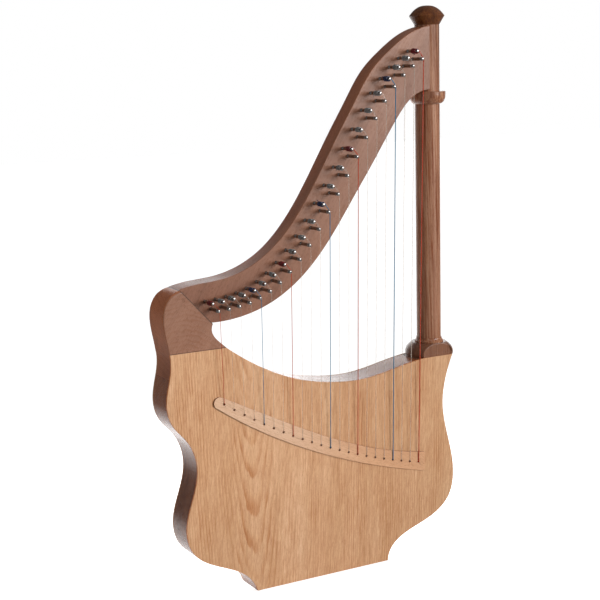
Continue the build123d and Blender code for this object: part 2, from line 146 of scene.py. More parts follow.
def new_material(name):
    """An empty material: its node tree, and its Principled shader."""
    material = bpy.data.materials.new(name)
    material.use_nodes = True
    return material, material.node_tree, material.node_tree.nodes["Principled BSDF"]


def bump(tree, shader, height, distance, strength=1.0):
    """Relief on a shader's surface; distance is its depth in metres."""
    node = add_node(
        tree,
        "ShaderNodeBump",
        {"Height": height, "Distance": distance, "Strength": strength},
    )
    tree.links.new(node.outputs["Normal"], shader.inputs["Normal"])


# ------------------------------------------------------------------ wood
def turned_frame(tree, place, turn, pith=(0, 0, 0)):
    """A point of the harp, turned (degrees) and moved into a log's own frame."""
    node = add_node(
        tree,
        "ShaderNodeMapping",
        {
            "Vector": place,
            "Location": pith,
            "Rotation": tuple(radians(angle) for angle in turn),
        },
    )
    return node.outputs["Vector"]


DRIFT_CELLS = (9, 9, 2.2)          # how slowly the pith wanders, in cells for each metre
DRIFT_GAIN = 4                     # from the noise's spread to the wander asked for
UNEVEN_CELLS = (85, 85, 2)         # rings of uneven width
UNEVEN_RINGS = 2.6
EVEN_NEAR_PITH = 0.15              # metres from the pith over which that comes in
RAGGED_CELLS = (260, 260, 14)      # the fine waver of each ring's edge
RAGGED_RINGS = 0.35


def growth_rings(tree, log, spacing, wander):
    """Saw-tooth from 0 to 1 across each ring; the pith wanders slowly along the log."""
    drift = add_node(
        tree,
        "ShaderNodeTexNoise",
        {"Vector": scaled(tree, log, DRIFT_CELLS), "Scale": 1.0, "Detail": 2.0},
    ).outputs["Color"]
    centred = add_node(tree, "ShaderNodeVectorMath", {0: drift, 1: (0.5, 0.5, 0.5)})
    centred.operation = "SUBTRACT"
    reach = wander * DRIFT_GAIN
    shift = scaled(tree, centred.outputs["Vector"], (reach, reach, 0))
    bent = add_node(tree, "ShaderNodeVectorMath", {0: log, 1: shift})
    flat = scaled(tree, bent.outputs["Vector"], (1, 1, 0))
    distance = add_node(tree, "ShaderNodeVectorMath", {0: flat}, operation="LENGTH")
    rings = maths(tree, "DIVIDE", distance.outputs["Value"], spacing)
    far = maths(tree, "DIVIDE", distance.outputs["Value"], EVEN_NEAR_PITH, clamp=True)
    uneven = maths(tree, "MULTIPLY", noise(tree, log, UNEVEN_CELLS, 2.0), UNEVEN_RINGS)
    uneven = maths(tree, "MULTIPLY", uneven, far)
    ragged = maths(tree, "MULTIPLY", noise(tree, log, RAGGED_CELLS), RAGGED_RINGS)
    rings = maths(tree, "ADD", rings, uneven)
    return maths(tree, "FRACT", maths(tree, "ADD", rings, ragged))


def seam_shade(tree, place, normal, offset, width, depth):
    """Darkens a thin glue line on the plane where the point's dot with normal is offset, with
    painted shade where the parts meet.
    """
    along = add_node(tree, "ShaderNodeVectorMath", {0: place, 1: normal})
    along.operation = "DOT_PRODUCT"
    away = maths(tree, "SUBTRACT", along.outputs["Value"], offset)
    share = maths(tree, "DIVIDE", maths(tree, "ABSOLUTE", away), width, clamp=True)
    return ramp(tree, share, [(0.35, 1 - depth), (1.0, 1.0)])


def warm_shade(tree, factor, low, high, depth):
    """A multiplier for wood: warmer where it is darker, and paler where it is lighter."""
    dark = (1 - 0.6 * depth, 1 - depth, 1 - 1.3 * depth)
    pale = (1 + 0.6 * depth, 1 + depth, 1 + 1.3 * depth)
    return ramp(tree, factor, [(low, dark), (high, pale)])


# Cells for each metre of each kind of mark, with the grain along Z.
PATCH_CELLS = (38, 38, 9)
BROAD_CELLS = (26, 26, 2.0)
BAND_CELLS = (75, 75, 3.5)
FIBRE_CELLS = (1100, 1100, 26)
PORE_CELLS = (2600, 2600, 170)
RUBBED_CELLS = (14, 14, 14)
STREAK_STRETCH = 50                # how many times longer a streak is than it is wide
PORE_ROUGHNESS = (0.7, 0.7, 0.7)
RING_RELIEF = 0.5                  # depth of a late ring, as a share of a fibre's


def wood(
    name,
    light,
    dark,
    streak,
    turn,
    pith,
    ring_spacing,
    ring_depth=0.35,
    wander=0.006,
    fibre_turn=None,
    streak_scale=420,
    streak_depth=0.10,
    fibre_depth=0.14,
    pore_density=0.42,
    pore_shade=0.55,
    roughness=0.35,
    ior=1.42,
    relief=0.00012,
    edge_tone_and_shade=(1.0, 1.0, 1.0),
    treble_side_tone_and_light=(1.0, 1.0, 1.0),
    treble_side_low_shade=None,
    tint_heights=(0.0, 1.0),
    seams=(),
):
    """Wood cut from a log. turn (degrees) and pith (metres) take a point of the harp to
    the log's own frame, with Z along the grain and the rings round the Z axis. Faces
    that look neither to the front nor to the back are multiplied by edge_tone_and_shade, and those
    of them on the treble side by treble_side_tone_and_light too, which gives way to treble_side_low_shade from
    the upper to the lower of tint_heights. These tints follow the photograph, so they
    carry some of its lighting as well as the wood's own colour."""
    material, tree, shader = new_material(name)
    place = add_node(tree, "ShaderNodeTexCoord").outputs["Object"]
    log = turned_frame(tree, place, turn, pith)
    grain = turned_frame(tree, place, fibre_turn or turn)

    growth = growth_rings(tree, log, ring_spacing, wander)
    late = ramp(tree, growth, [(0.0, 0.0), (0.45, 0.2), (0.80, 1.0), (0.93, 1.0), (1.0, 0.0)])
    patchy = ramp(tree, noise(tree, log, PATCH_CELLS, 2.0), [(0.35, 0.15), (0.65, 1.0)])
    ring_share = maths(tree, "MULTIPLY", late, patchy)
    early_tint = (1 + 0.15 * ring_depth, 1 + 0.3 * ring_depth, 1 + 0.5 * ring_depth)
    late_tint = (1 - 0.55 * ring_depth, 1 - ring_depth, 1 - 1.4 * ring_depth)
    ring_shade = ramp(tree, ring_share, [(0.0, early_tint), (0.35, 1.0), (1.0, late_tint)])

    # Broad bands of colour, then streaks, fine fibres, and short dark pores.
    broad = noise(tree, grain, BROAD_CELLS, detail=4.0, distortion=0.6)
    tone = mix(tree, ramp(tree, broad, [(0.32, 0.0), (0.68, 1.0)]), light, dark)
    band = noise(tree, grain, BAND_CELLS, detail=3.0, distortion=0.3)
    tone = mix(tree, ramp(tree, band, [(0.56, 0.0), (0.74, 0.6)]), tone, streak)
    tone = mix(tree, 1.0, tone, ring_shade, "MULTIPLY")
    streak_cells = (streak_scale, streak_scale, streak_scale / STREAK_STRETCH)
    streaks = noise(tree, grain, streak_cells, 5.0, 0.65, 0.4)
    tone = mix(tree, 1.0, tone, warm_shade(tree, streaks, 0.30, 0.70, streak_depth), "MULTIPLY")
    fibre = noise(tree, grain, FIBRE_CELLS, detail=3.0)
    tone = mix(tree, 1.0, tone, warm_shade(tree, fibre, 0.25, 0.75, fibre_depth), "MULTIPLY")
    pores = noise(tree, grain, PORE_CELLS, detail=1.0)
    pore_mask = ramp(tree, pores, [(pore_density - 0.10, 1.0), (pore_density, 0.0)])
    pore_tint = (pore_shade + 0.08, pore_shade, pore_shade - 0.08)
    pitted = mix(tree, 1.0, tone, pore_tint, "MULTIPLY")
    tone = mix(tree, pore_mask, tone, pitted)
    normal = add_node(tree, "ShaderNodeNewGeometry").outputs["Normal"]
    facing = add_node(tree, "ShaderNodeSeparateXYZ", {"Vector": normal})
    # Faces that look sideways get a tint that is the edge grain's colour with painted shade on
    # it.
    on_edge = maths(tree, "ABSOLUTE", facing.outputs["Y"])
    on_edge = ramp(tree, on_edge, [(0.3, 1.0), (0.8, 0.0)])
    edge = mix(tree, 1.0, tone, edge_tone_and_shade, "MULTIPLY")
    tone = mix(tree, on_edge, tone, edge)
    # On the treble side they get one more tint, partly the wood's tone and partly painted light.
    treble_side = maths(tree, "SUBTRACT", 0.5, maths(tree, "MULTIPLY", facing.outputs["X"], 0.5))
    treble_side = ramp(tree, treble_side, [(0.48, 0.0), (0.58, 1.0)])
    # Lower down that tint gives way to another, painted shade that darkens the treble side
    # towards the bottom.
    if treble_side_low_shade:
        low, high = tint_heights
        height = add_node(tree, "ShaderNodeSeparateXYZ", {"Vector": place}).outputs["Z"]
        lowness = ramp(tree, height, [(low, 1.0), (high, 0.0)])
        treble_side_tone_and_light = mix(tree, lowness, treble_side_tone_and_light, treble_side_low_shade)
    tinted = mix(tree, 1.0, tone, treble_side_tone_and_light, "MULTIPLY")
    tone = mix(tree, maths(tree, "MULTIPLY", on_edge, treble_side), tone, tinted)
    for plane, offset, width, depth, on_edges in seams:
        shade = seam_shade(tree, place, plane, offset, width, depth)
        if not on_edges:
            shade = mix(tree, on_edge, shade, (1, 1, 1))
        tone = mix(tree, 1.0, tone, shade, "MULTIPLY")
    tree.links.new(tone, shader.inputs["Base Color"])

    # The finish is a thin oil: duller in the pores and where hands rub it.
    rubbed = noise(tree, place, RUBBED_CELLS, detail=5.0)
    gloss = ramp(tree, rubbed, [(0.3, roughness - 0.05), (0.7, roughness + 0.07)])
    gloss = mix(tree, pore_mask, gloss, PORE_ROUGHNESS)
    tree.links.new(gloss, shader.inputs["Roughness"])
    shader.inputs["IOR"].default_value = ior
    surface = maths(tree, "SUBTRACT", fibre, pore_mask)
    sunken = maths(tree, "MULTIPLY", ring_share, RING_RELIEF)
    surface = maths(tree, "SUBTRACT", surface, sunken)
    bump(tree, shader, surface, relief)
    return material


def graded(material, axis, start, end, tint):
    """Multiplies a finished material's colour by a tint that comes in from start to end
    along an axis of the harp, in metres. It follows how the photograph's colour changes
    across a piece, which is partly its lighting."""
    tree = material.node_tree
    colour = tree.nodes["Principled BSDF"].inputs["Base Color"]
    tone = colour.links[0].from_socket
    place = add_node(tree, "ShaderNodeTexCoord").outputs["Object"]
    along = add_node(tree, "ShaderNodeSeparateXYZ", {"Vector": place}).outputs[axis]
    share = maths(tree, "DIVIDE", maths(tree, "SUBTRACT", along, start), end - start, clamp=True)
    tinted = mix(tree, 1.0, tone, tint, "MULTIPLY")
    tree.links.new(mix(tree, share, tone, tinted), colour)


beech = wood(
    "beech_soundboard",
    light=(0.690, 0.384, 0.203),
    dark=(0.595, 0.306, 0.145),
    streak=(0.510, 0.246, 0.105),
    turn=(4.6, 0, 0),
    pith=(0.110, 0.079, 0),
    ring_spacing=0.0038,
    ring_depth=0.36,
    wander=0.003,
    fibre_turn=(4.6, -5, 0),
    streak_scale=400,
    streak_depth=0.20,
    fibre_depth=0.20,
    pore_density=0.40,
    pore_shade=0.72,
    roughness=0.42,
    ior=1.38,
    relief=0.00005,
    # Its edge faces are partly the edge grain's colour and partly painted shade, with painted
    # light on the treble side.
    edge_tone_and_shade=(0.90, 0.66, 0.48),
    treble_side_tone_and_light=(1.35, 1.05, 0.80),
)
graded(beech, "X", 0.00, 0.20, (0.91, 0.90, 0.87))
graded(beech, "Z", 0.20, 0.05, (0.93, 0.94, 0.96))
beech_back = wood(
    "beech_back",
    light=(0.64, 0.348, 0.185),
    dark=(0.55, 0.278, 0.132),
    streak=(0.47, 0.224, 0.098),
    turn=(3.8, 0, 0),
    pith=(-0.05, -0.075, 0),
    ring_spacing=0.0050,
    ring_depth=0.24,
    wander=0.005,
    streak_scale=210,
    pore_density=0.40,
    pore_shade=0.72,
    roughness=0.42,
    ior=1.38,
    relief=0.00005,
)
maple = wood(
    "maple_rib",
    light=(0.78, 0.505, 0.33),
    dark=(0.67, 0.405, 0.25),
    streak=(0.58, 0.33, 0.19),
    turn=(0, 64, 0),
    pith=(0, 0.09, 0.05),
    ring_spacing=0.0030,
    ring_depth=0.06,
    streak_depth=0.04,
    fibre_depth=0.07,
    pore_density=0.40,
    pore_shade=0.60,
    roughness=0.45,
    ior=1.38,
    relief=0.00006,
    # Its edge faces are darkened to a dark outline: the edge grain's colour and painted shade.
    edge_tone_and_shade=(0.32, 0.17, 0.10),
)
graded(maple, "X", -0.06, 0.08, (0.90, 0.77, 0.64))
spruce = wood(
    "spruce_inside",
    light=(0.70, 0.50, 0.29),
    dark=(0.64, 0.43, 0.23),
    streak=(0.55, 0.33, 0.15),
    turn=(0, 90, 0),
    pith=(0, 0.1, 0),
    ring_spacing=0.0018,
    ring_depth=0.25,
    roughness=0.6,
    relief=0.00008,
)

# The glue lines that show, with painted shade where the parts meet: each is a plane's
# normal, its offset, the line's half width and darkness, and whether it crosses the edge faces
# too.
MITRE_LINE = ((0.7365, 0.0, 0.6764), 0.1423, 0.0016, 0.70, True)
SEAT_LINE = ((0.0, 0.0, 1.0), 0.3540, 0.0014, 0.60, False)
walnut_side = wood(
    "walnut_side",
    light=(0.330, 0.112, 0.048),
    dark=(0.210, 0.068, 0.029),
    streak=(0.125, 0.040, 0.018),
    turn=(0, 0, 0),
    pith=(0.30, 0.02, 0),
    ring_spacing=0.006,
    ring_depth=0.22,
    roughness=0.20,
    ior=1.42,
    relief=0.00005,
    # Painted light on the treble side's faces, with the wood's tone, giving way to painted shade
    # towards the bottom.
    treble_side_tone_and_light=(1.25, 1.20, 1.10),
    treble_side_low_shade=(0.72, 0.72, 0.72),
    tint_heights=(0.16, 0.30),
)
walnut_neck = wood(
    "walnut_neck",
    light=(0.375, 0.172, 0.099),
    dark=(0.245, 0.104, 0.056),
    streak=(0.170, 0.069, 0.036),
    turn=(0, -32, 0),
    pith=(0.05, 0.07, 0),
    ring_spacing=0.0050,
    ring_depth=0.08,
    wander=0.010,
    streak_depth=0.06,
    fibre_depth=0.10,
    roughness=0.34,
    ior=1.40,
    relief=0.00002,
    # The treble side's faces are tinted redder and lighter: partly the wood's tone, partly
    # painted light.
    treble_side_tone_and_light=(1.45, 1.08, 0.84),
    seams=[MITRE_LINE],
)
graded(walnut_neck, "X", 0.00, -0.14, (0.86, 0.80, 0.78))
walnut_shoulder = wood(
    "walnut_shoulder",
    light=(0.370, 0.175, 0.105),
    dark=(0.285, 0.128, 0.073),
    streak=(0.200, 0.085, 0.045),
    turn=(72, 0, 0),
    pith=(0.205, 0.29, 0.0),
    ring_spacing=0.0060,
    ring_depth=0.17,
    wander=0.006,
    fibre_turn=(0, -38, 0),
    streak_depth=0.05,
    fibre_depth=0.07,
    roughness=0.30,
    ior=1.40,
    relief=0.00002,
    # The treble side's faces are lifted with painted light and the wood's redder tone, and
    # painted shade darkens them towards the bottom.
    treble_side_tone_and_light=(2.05, 1.36, 0.84),
    treble_side_low_shade=(1.20, 0.82, 0.56),
    tint_heights=(0.33, 0.42),
    seams=[MITRE_LINE, SEAT_LINE],
)
walnut_column = wood(
    "walnut_column",
    light=(0.360, 0.158, 0.084),
    dark=(0.170, 0.066, 0.033),
    streak=(0.070, 0.025, 0.012),
    turn=(0, 1.5, 0),
    pith=(-0.165, 0.02, 0),
    ring_spacing=0.0055,
    ring_depth=0.30,
    streak_scale=330,
    streak_depth=0.75,
    fibre_depth=0.30,
    roughness=0.40,
    ior=1.34,
    relief=0.00008,
)
walnut_turned = wood(
    "walnut_turned",
    light=(0.390, 0.158, 0.074),
    dark=(0.205, 0.074, 0.033),
    streak=(0.080, 0.028, 0.013),
    turn=(3, 0, 0),
    pith=(-0.18, 0.03, 0),
    ring_spacing=0.0045,
    ring_depth=0.34,
    streak_scale=330,
    streak_depth=0.75,
    fibre_depth=0.30,
    roughness=0.26,
    ior=1.46,
    relief=0.00008,
)
walnut_foot = wood(
    "walnut_foot",
    light=(0.240, 0.094, 0.043),
    dark=(0.150, 0.055, 0.025),
    streak=(0.080, 0.028, 0.013),
    turn=(3, 0, 0),
    pith=(-0.18, 0.03, 0),
    ring_spacing=0.0045,
    ring_depth=0.28,
    streak_scale=330,
    streak_depth=0.24,
    fibre_depth=0.20,
    roughness=0.26,
    ior=1.48,
    relief=0.00008,
)
walnut_finial = wood(
    "walnut_finial",
    light=(0.175, 0.050, 0.010),
    dark=(0.095, 0.026, 0.005),
    streak=(0.040, 0.011, 0.003),
    turn=(0, 2, 0),
    pith=(-0.19, 0.02, 0),
    ring_spacing=0.0040,
    ring_depth=0.34,
    streak_scale=360,
    streak_depth=0.70,
    fibre_depth=0.35,
    roughness=0.34,
    ior=1.36,
    relief=0.00008,
)


# ------------------------------------------------------------------ metal, nylon, plastic
def metal(name, colour, roughness):
    """Plated steel with fine scratches and a little grime."""
    material, tree, shader = new_material(name)
    place = add_node(tree, "ShaderNodeTexCoord").outputs["Object"]
    grime = noise(tree, place, (420, 420, 420), detail=4.0)
    tone = mix(
        tree,
        ramp(tree, grime, [(0.42, 0.0), (0.70, 1.0)]),
        colour,
        tuple(level * 0.62 for level in colour),
    )
    tree.links.new(tone, shader.inputs["Base Color"])
    scratches = noise(tree, place, (900, 9000, 900), detail=2.0)
    gloss = ramp(tree, scratches, [(0.3, roughness - 0.06), (0.7, roughness + 0.10)])
    tree.links.new(gloss, shader.inputs["Roughness"])
    shader.inputs["Metallic"].default_value = 1.0
    bump(tree, shader, scratches, 0.00002)
    return material


def nylon(name, colour, shaded, clear, cover):
    """Drawn nylon with faint marks along its length. clear is the share of light that it
    lets through, and cover how much of what is behind it hides."""
    material, tree, shader = new_material(name)
    place = add_node(tree, "ShaderNodeTexCoord").outputs["Object"]
    marks = noise(tree, place, (1500, 1500, 160), detail=2.0)
    tone = mix(tree, ramp(tree, marks, [(0.3, 0.0), (0.7, 1.0)]), colour, shaded)
    tree.links.new(tone, shader.inputs["Base Color"])
    gloss = ramp(tree, marks, [(0.3, 0.12), (0.7, 0.22)])
    tree.links.new(gloss, shader.inputs["Roughness"])
    shader.inputs["IOR"].default_value = 1.45
    shader.inputs["Transmission Weight"].default_value = clear
    shader.inputs["Alpha"].default_value = cover
    bump(tree, shader, marks, 0.00001)
    return material


def plastic(name, colour):
    """Moulded plastic with a faint orange-peel surface."""
    material, tree, shader = new_material(name)
    place = add_node(tree, "ShaderNodeTexCoord").outputs["Object"]
    peel = noise(tree, place, (700, 700, 700), detail=3.0)
    lighter = tuple(level * 1.6 for level in colour)
    tone = mix(tree, ramp(tree, peel, [(0.3, 0.0), (0.7, 1.0)]), colour, lighter)
    tree.links.new(tone, shader.inputs["Base Color"])
    tree.links.new(ramp(tree, peel, [(0.3, 0.35), (0.7, 0.5)]), shader.inputs["Roughness"])
    bump(tree, shader, peel, 0.00003)
    return material


nickel = metal("nickel_pins", (0.32, 0.30, 0.29), 0.16)
red_nylon = nylon("red_nylon", (0.62, 0.070, 0.026), (0.50, 0.050, 0.020), 0.08, 0.92)
blue_nylon = nylon("blue_nylon", (0.030, 0.230, 0.400), (0.024, 0.180, 0.320), 0.12, 0.90)
clear_nylon = nylon("clear_nylon", (0.72, 0.62, 0.52), (0.64, 0.54, 0.45), 0.25, 0.32)
# The windings are darker copies of their strings' nylon: painted shade for the tight turns on
# the pin.
red_winding_shaded = nylon("red_winding_shaded", (0.240, 0.014, 0.016), (0.160, 0.009, 0.011), 0.10, 0.90)
blue_winding_shaded = nylon("blue_winding_shaded", (0.020, 0.032, 0.110), (0.014, 0.022, 0.080), 0.10, 0.90)
clear_winding_shaded = nylon("clear_winding_shaded", (0.42, 0.40, 0.39), (0.34, 0.32, 0.31), 0.30, 0.62)
black_plastic = plastic("black_plastic", (0.020, 0.020, 0.022))


# ------------------------------------------------------------------ finishes of the CAD nodes
def finish_nodes(material, *names):
    """Gives CAD nodes a material in place of the plain one they were packed with."""
    for name in names:
        mesh = frame["nodes"][name].data
        mesh.materials.clear()
        mesh.materials.append(material)


finish_nodes(beech, "soundboard")
finish_nodes(beech_back, "back_panel")
finish_nodes(maple, "string_rib", "string_bar", "shoulder_dowels", "column_dowels")
finish_nodes(
    spruce,
    "soundboard_lining",
    "back_lining",
    "soundboard_upper_brace",
    "soundboard_lower_brace",
    "back_upper_brace",
    "back_lower_brace",
)
finish_nodes(walnut_side, "treble_side_rim", "bass_side_rim", "cutout_rim", "base_block")
finish_nodes(walnut_neck, "neck")
finish_nodes(walnut_shoulder, "shoulder_block")
finish_nodes(walnut_column, "column")
finish_nodes(walnut_turned, "column_foot_ring", "column_collar")
finish_nodes(walnut_foot, "column_block")
finish_nodes(walnut_finial, "column_finial")
finish_nodes(red_nylon, "strings_red")
finish_nodes(blue_nylon, "strings_blue")
finish_nodes(clear_nylon, "strings_clear")
finish_nodes(black_plastic, "string_anchors")

EASED_EDGES = {
    "soundboard": 0.0005,
    "back_panel": 0.0005,
    "string_rib": 0.0005,
    "column_block": 0.0009,
}
WELD_DISTANCE = 0.000002
EASE_SEGMENTS = 3
EASE_ANGLE = radians(50)           # only edges sharper than this are eased
for name, width in EASED_EDGES.items():
    node = frame["nodes"][name]
    weld = node.modifiers.new("weld", "WELD")
    weld.merge_threshold = WELD_DISTANCE
    ease = node.modifiers.new("eased_edges", "BEVEL")
    ease.width = width
    ease.segments = EASE_SEGMENTS
    ease.limit_method = "ANGLE"
    ease.angle_limit = EASE_ANGLE
    ease.use_clamp_overlap = False
    ease.harden_normals = True


# ------------------------------------------------------------------ mesh building
SHARP_ANGLE = radians(35)          # edges sharper than this aren't shaded smooth


def new_piece(name, mesh_builder, material, body):
    """A mesh object from a finished bmesh; it rides on a body."""
    mesh = bpy.data.meshes.new(name)
    mesh_builder.to_mesh(mesh)
    mesh_builder.free()
    piece = bpy.data.objects.new(name, mesh)
    scene.collection.objects.link(piece)
    mesh.materials.append(material)
    mesh.shade_smooth()
    mesh.set_sharp_from_angle(angle=SHARP_ANGLE)
    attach(piece, body)
    return piece


def join_rings(builder, rings):
    """Quads between rings of vertices, and a flat cap on the first and last ring."""
    for lower, upper in zip(rings, rings[1:]):
        for i in range(len(lower)):
            j = (i + 1) % len(lower)
            builder.faces.new((lower[i], lower[j], upper[j], upper[i]))
    builder.faces.new(list(reversed(rings[0])))
    builder.faces.new(rings[-1])


def around(centre, y, reach, angle):
    """A point at an angle round a pin's axis, reach metres from it."""
    return Vector((centre.x + reach * cos(angle), y, centre.z + reach * sin(angle)))


def round_ring(builder, centre, out, radius, sides=24, square=0.0):
    """Vertices round a pin's axis, out metres from the neck's face. square goes from
    0, round, to 1, a square across whose flats the radius is measured."""
    ring = []
    for i in range(sides):
        angle = 2 * pi * i / sides
        across = max(abs(cos(angle)), abs(sin(angle)))
        reach = radius * (1 - square + square / across)
        ring.append(builder.verts.new(around(centre, NECK_FRONT_Y - out, reach, angle)))
    return ring


def lathe(builder, centre, profile, sides=24):
    """A turned shape about a pin's axis; profile gives (out, radius, square)."""
    rings = [
        round_ring(builder, centre, out, radius, sides, square)
        for out, radius, square in profile
    ]
    join_rings(builder, rings)


CUT_END = 0.6                      # a string's cut end, as a share of its radius


def tube(builder, path, radius, sides=12, tapered_end=False):
    """A round tube along a list of points, turned as little as possible between them."""
    rings = []
    along = (path[1] - path[0]).normalized()
    side = along.orthogonal().normalized()
    for index, place in enumerate(path):
        before = path[max(index - 1, 0)]
        after = path[min(index + 1, len(path) - 1)]
        tangent = (after - before).normalized()
        side = (side - tangent * side.dot(tangent)).normalized()
        other = tangent.cross(side)
        width = radius
        if tapered_end and index == len(path) - 1:
            width = radius * CUT_END
        rings.append(
            [
                builder.verts.new(
                    place
                    + side * (width * cos(2 * pi * i / sides))
                    + other * (width * sin(2 * pi * i / sides))
                )
                for i in range(sides)
            ]
        )
    join_rings(builder, rings)


def string_radius(number):
    """Strings get evenly thinner from number 1 in the bass to 22 in the treble."""
    share = (number - 1) / (STRING_COUNT - 1)
    return BASS_RADIUS + (TREBLE_RADIUS - BASS_RADIUS) * share


def string_finish(number):
    """The material of a string's turns on its tuning pin, and its record slot."""
    if number in RED_STRINGS:
        return red_winding_shaded, "red_nylon"
    if number in BLUE_STRINGS:
        return blue_winding_shaded, "blue_nylon"
    return clear_winding_shaded, "clear_nylon"


def leaving_angle():
    """Direction from a tuning pin's axis to the point where its string leaves it."""
    span = hypot(BRIDGE_FROM_TUNING.x, BRIDGE_FROM_TUNING.z)
    rise = atan2(-BRIDGE_FROM_TUNING.z, -BRIDGE_FROM_TUNING.x)
    return rise - pi / 2 + asin((GROOVE_RADIUS - PIN_RADIUS) / span)


def thread(out_low, out_high, pitch, depth):
    """Profile of fine thread rings on a pin's shaft."""
    profile = []
    out = out_low
    while out < out_high:
        profile += [(out, PIN_RADIUS - depth, 0.0), (out + pitch / 2, PIN_RADIUS, 0.0)]
        out += pitch
    return profile


TUNING_PROFILE = [
    (-TUNING_PIN_IN, PIN_RADIUS - 0.0006, 0.0),
    (-TUNING_PIN_IN + 0.0008, PIN_RADIUS, 0.0),
    (-0.0008, PIN_RADIUS, 0.0),
    *thread(-0.0006, 0.0058, 0.0008, 0.00022),
    (0.0066, PIN_RADIUS, 0.0),
    (0.0225, PIN_RADIUS, 0.0),
    (0.0232, 0.00200, 0.75),
    (0.0252, 0.00188, 0.80),
    (0.0258, 0.00165, 0.70),
    (TUNING_PIN_OUT, 0.00125, 0.50),
]
BRIDGE_PROFILE = [
    (-BRIDGE_PIN_IN, PIN_RADIUS - 0.0005, 0.0),
    (-BRIDGE_PIN_IN + 0.0006, PIN_RADIUS, 0.0),
    (-0.0008, PIN_RADIUS, 0.0),
    *thread(-0.0006, 0.0042, 0.0008, 0.00022),
    (0.0050, PIN_RADIUS, 0.0),
    (0.0206, PIN_RADIUS, 0.0),
    (0.0210, GROOVE_RADIUS, 0.0),
    (0.0236, GROOVE_RADIUS, 0.0),
    (0.0239, PIN_RADIUS, 0.0),
    (0.0243, PIN_RADIUS - 0.00015, 0.0),
    (0.0247, PIN_RADIUS - 0.00060, 0.0),
    (BRIDGE_PIN_OUT, PIN_RADIUS - 0.00140, 0.0),
]


TURN_PITCH = 2.04                  # between neighbouring turns, in string radii
STEPS_PER_TURN = 20
FEWEST_STEPS = 8


def winding_path(centre, radius, start_angle, out_high, out_low):
    """Helix of touching turns, from the string's side down towards the neck."""
    turns = (out_high - out_low) / (radius * TURN_PITCH)
    steps = max(int(turns * STEPS_PER_TURN), FEWEST_STEPS)
    path = []
    for step in range(steps + 1):
        angle = start_angle + 2 * pi * turns * step / steps
        out = out_high - (out_high - out_low) * step / steps
        path.append(around(centre, NECK_FRONT_Y - out, PIN_RADIUS + radius, angle))
    return path, angle


TAIL_CURL = 0.0016                 # how far a loose end bends away from its pin
TAIL_LEAN = 0.0012                 # and towards the neck


def tail_path(path, angle, length):
    """A short loose end that leaves the winding's last turn and curls outwards."""
    last = path[-1]
    tangent = Vector((-sin(angle), 0.0, cos(angle)))
    outward = Vector((cos(angle), 0.0, sin(angle)))
    return [
        last + tangent * (length * share) + outward * (TAIL_CURL * share * share)
        + Vector((0.0, TAIL_LEAN * share, 0.0))
        for share in (0.0, 0.25, 0.5, 0.75, 1.0)
    ]


# ------------------------------------------------------------------ tuning pins
TAIL_LENGTHS = {1: 0.0050, 5: 0.0035, 8: 0.0045, 11: 0.0040, 15: 0.0045, 19: 0.0030}
DEFAULT_TAIL = 0.0022

joints = {joint["name"]: joint for joint in frame["joints"]}
tuning_places = [
    Vector(joints[f"tune_{number:02d}"]["pos_m"]) for number in range(1, STRING_COUNT + 1)
]
STRING_OUT = NECK_FRONT_Y - STRING_Y
LAST_TURN = range(0, 331, 10)      # degrees round the pin that the string's last turn covers

for number, centre in enumerate(tuning_places, start=1):
    radius = string_radius(number)
    string_material, string_slot = string_finish(number)
    body = f"pin_{number:02d}"

    builder = bmesh.new()
    lathe(builder, centre, TUNING_PROFILE)
    pin = new_piece(f"tuning_pin_steel_{number:02d}", builder, nickel, body)
    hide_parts(f"tuning_pin_{number:02d}")

    builder = bmesh.new()
    path, end_angle = winding_path(
        centre,
        radius,
        leaving_angle(),
        STRING_OUT - 2 * radius - STRING_GAP,
        WINDING_LOW + radius,
    )
    path += tail_path(path, end_angle, TAIL_LENGTHS.get(number, DEFAULT_TAIL))[1:]
    tube(builder, path, radius, sides=10, tapered_end=True)
    new_piece(f"string_winding_{number:02d}", builder, string_material, body)

    # The string's own last turn doesn't move with the pin.
    builder = bmesh.new()
    reach = PIN_RADIUS + radius + RUNNING_GAP
    turn_path = [
        around(centre, STRING_Y, reach, leaving_angle() + radians(angle))
        for angle in LAST_TURN
    ]
    tube(builder, turn_path, radius, sides=10)
    new_piece(f"string_turn_{number:02d}", builder, string_material, "harp")

# ------------------------------------------------------------------ bridge pins
builder = bmesh.new()
for centre in tuning_places:
    lathe(builder, centre + BRIDGE_FROM_TUNING, BRIDGE_PROFILE)
bridge_pins = new_piece("bridge_pins_steel", builder, nickel, "harp")
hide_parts("bridge_pins")

# ------------------------------------------------------------------ floor
FLOOR_HALF = 8.0
FLOOR_DROP = 0.0002                # keeps the floor clear of the harp's flat underside
builder = bmesh.new()
bmesh.ops.create_grid(builder, x_segments=8, y_segments=8, size=FLOOR_HALF)
floor_mesh = bpy.data.meshes.new("floor")
builder.to_mesh(floor_mesh)
builder.free()
floor = bpy.data.objects.new("floor", floor_mesh)
floor.location = (0, 0, -FLOOR_DROP)
scene.collection.objects.link(floor)
floor_paint, floor_tree, floor_shader = new_material("pale_floor")
floor_place = add_node(floor_tree, "ShaderNodeTexCoord").outputs["Object"]
floor_cloud = noise(floor_tree, floor_place, (3, 3, 3), detail=4.0)
floor_tone = ramp(floor_tree, floor_cloud, [(0.3, 0.54), (0.7, 0.57)])
floor_tree.links.new(floor_tone, floor_shader.inputs["Base Color"])
floor_shader.inputs["Roughness"].default_value = 0.8
floor_shader.inputs["Specular IOR Level"].default_value = 0.1


